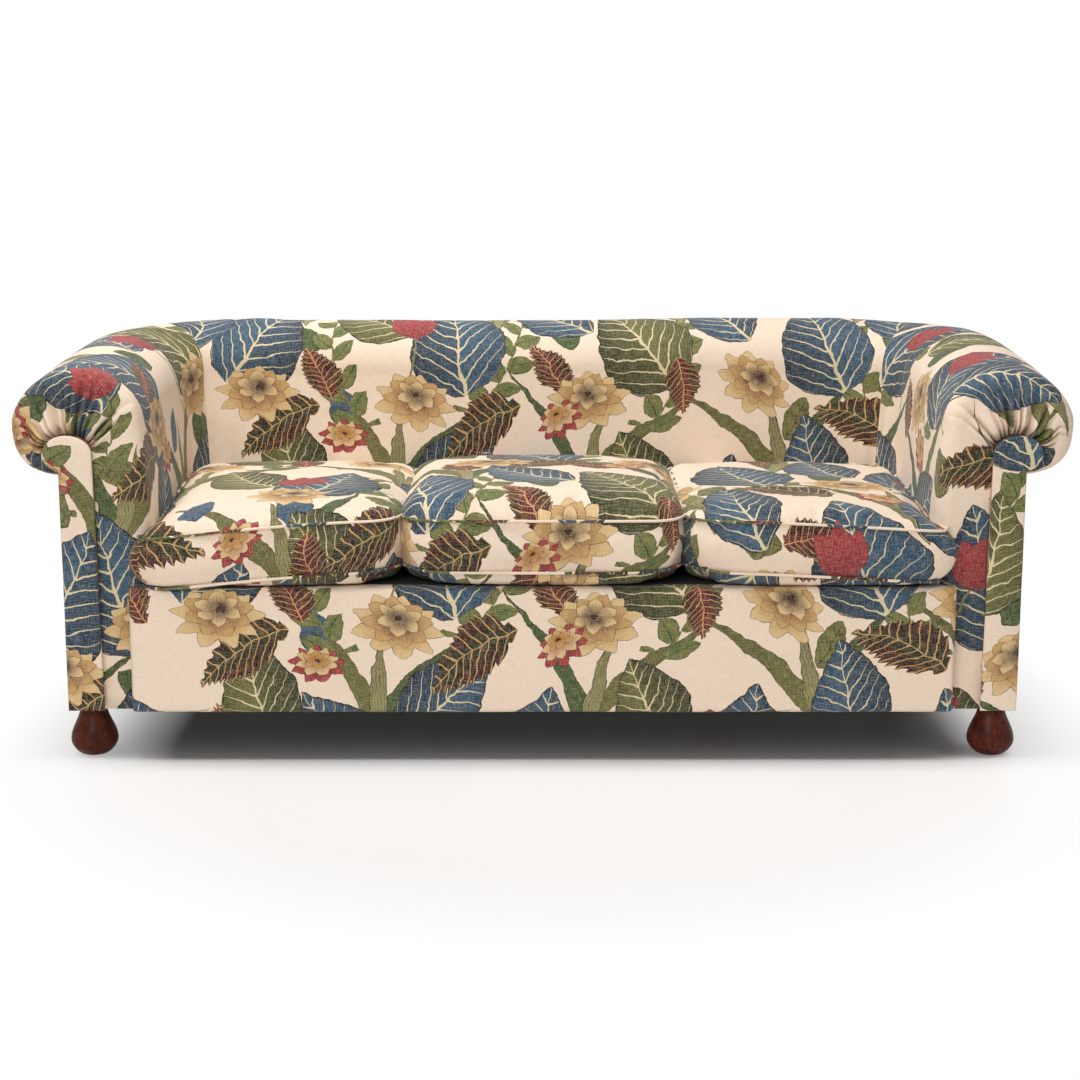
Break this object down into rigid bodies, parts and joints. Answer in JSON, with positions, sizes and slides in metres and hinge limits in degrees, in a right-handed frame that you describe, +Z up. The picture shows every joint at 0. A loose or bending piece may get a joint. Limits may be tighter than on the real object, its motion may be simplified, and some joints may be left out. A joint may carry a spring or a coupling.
{
  "type": "chesterfield sofa",
  "caption": "Upholstered sofa with one roll running along both arms and round the back, scroll arm fronts with facings, loose boxed seat cushions and turned pear feet.",
  "frame": {"origin": "on the floor under the middle of the sofa's bounding box", "axes": "+X along the length, to the viewer's right seen from the front; +Y to the back; +Z up"},
  "size_m": [2.02, 0.905, 0.789],
  "materials": {
    "frame_timber": "planed beech, unfinished",
    "stained_wood": "dark stained and satin lacquered turned wood",
    "spring_steel": "plain spring wire",
    "jute": "woven jute",
    "lining_cloth": "black lining cloth",
    "padding": "fibre padding",
    "printed_linen": "plain-weave linen printed with a botanical pattern"
  },
  "bodies": {
    "sofa_frame": {"front_seat_rail": "frame_timber", "back_seat_rail": "frame_timber", "back_tack_rail": "frame_timber", "back_top_rail": "frame_timber", "left_arm_post": "frame_timber", "left_back_post": "frame_timber", "left_seat_rail": "frame_timber", "left_tack_rail": "frame_timber", "left_top_rail": "frame_timber", "left_back_stay": "frame_timber", "left_cross_rail": "frame_timber", "left_corner_block": "frame_timber", "right_arm_post": "frame_timber", "right_back_post": "frame_timber", "right_seat_rail": "frame_timber", "right_tack_rail": "frame_timber", "right_top_rail": "frame_timber", "right_back_stay": "frame_timber", "right_cross_rail": "frame_timber", "right_corner_block": "frame_timber", "front_left_foot": "stained_wood", "front_right_foot": "stained_wood", "rear_left_foot": "stained_wood", "rear_right_foot": "stained_wood", "seat_spring_1": "spring_steel", "seat_spring_2": "spring_steel", "seat_spring_3": "spring_steel", "seat_spring_4": "spring_steel", "seat_spring_5": "spring_steel", "seat_spring_6": "spring_steel", "seat_spring_7": "spring_steel", "seat_spring_8": "spring_steel", "seat_spring_9": "spring_steel", "seat_spring_10": "spring_steel", "seat_spring_11": "spring_steel", "seat_spring_12": "spring_steel", "seat_webbing": "jute", "spring_hessian": "jute", "platform_cover": "lining_cloth", "dust_cover": "lining_cloth", "seat_stuffing": "padding", "front_border_padding": "padding", "back_padding": "padding", "left_arm_padding": "padding", "right_arm_padding": "padding", "front_border_cover": "printed_linen", "inside_back_cover": "printed_linen", "outside_back_panel": "printed_linen", "left_inside_arm_cover": "printed_linen", "left_outside_arm_panel": "printed_linen", "left_arm_facing": "printed_linen", "right_inside_arm_cover": "printed_linen", "right_outside_arm_panel": "printed_linen", "right_arm_facing": "printed_linen"},
    "left_cushion": {"left_seat_cushion": "printed_linen"},
    "middle_cushion": {"middle_seat_cushion": "printed_linen"},
    "right_cushion": {"right_seat_cushion": "printed_linen"}
  },
  "joints": [
    {"name": "left_cushion_lift", "type": "slide", "parent": "sofa_frame", "child": "left_cushion", "axis": [0, 0, 1], "range_m": [0, 0.45]},
    {"name": "middle_cushion_lift", "type": "slide", "parent": "sofa_frame", "child": "middle_cushion", "axis": [0, 0, 1], "range_m": [0, 0.45]},
    {"name": "right_cushion_lift", "type": "slide", "parent": "sofa_frame", "child": "right_cushion", "axis": [0, 0, 1], "range_m": [0, 0.45]}
  ]
}
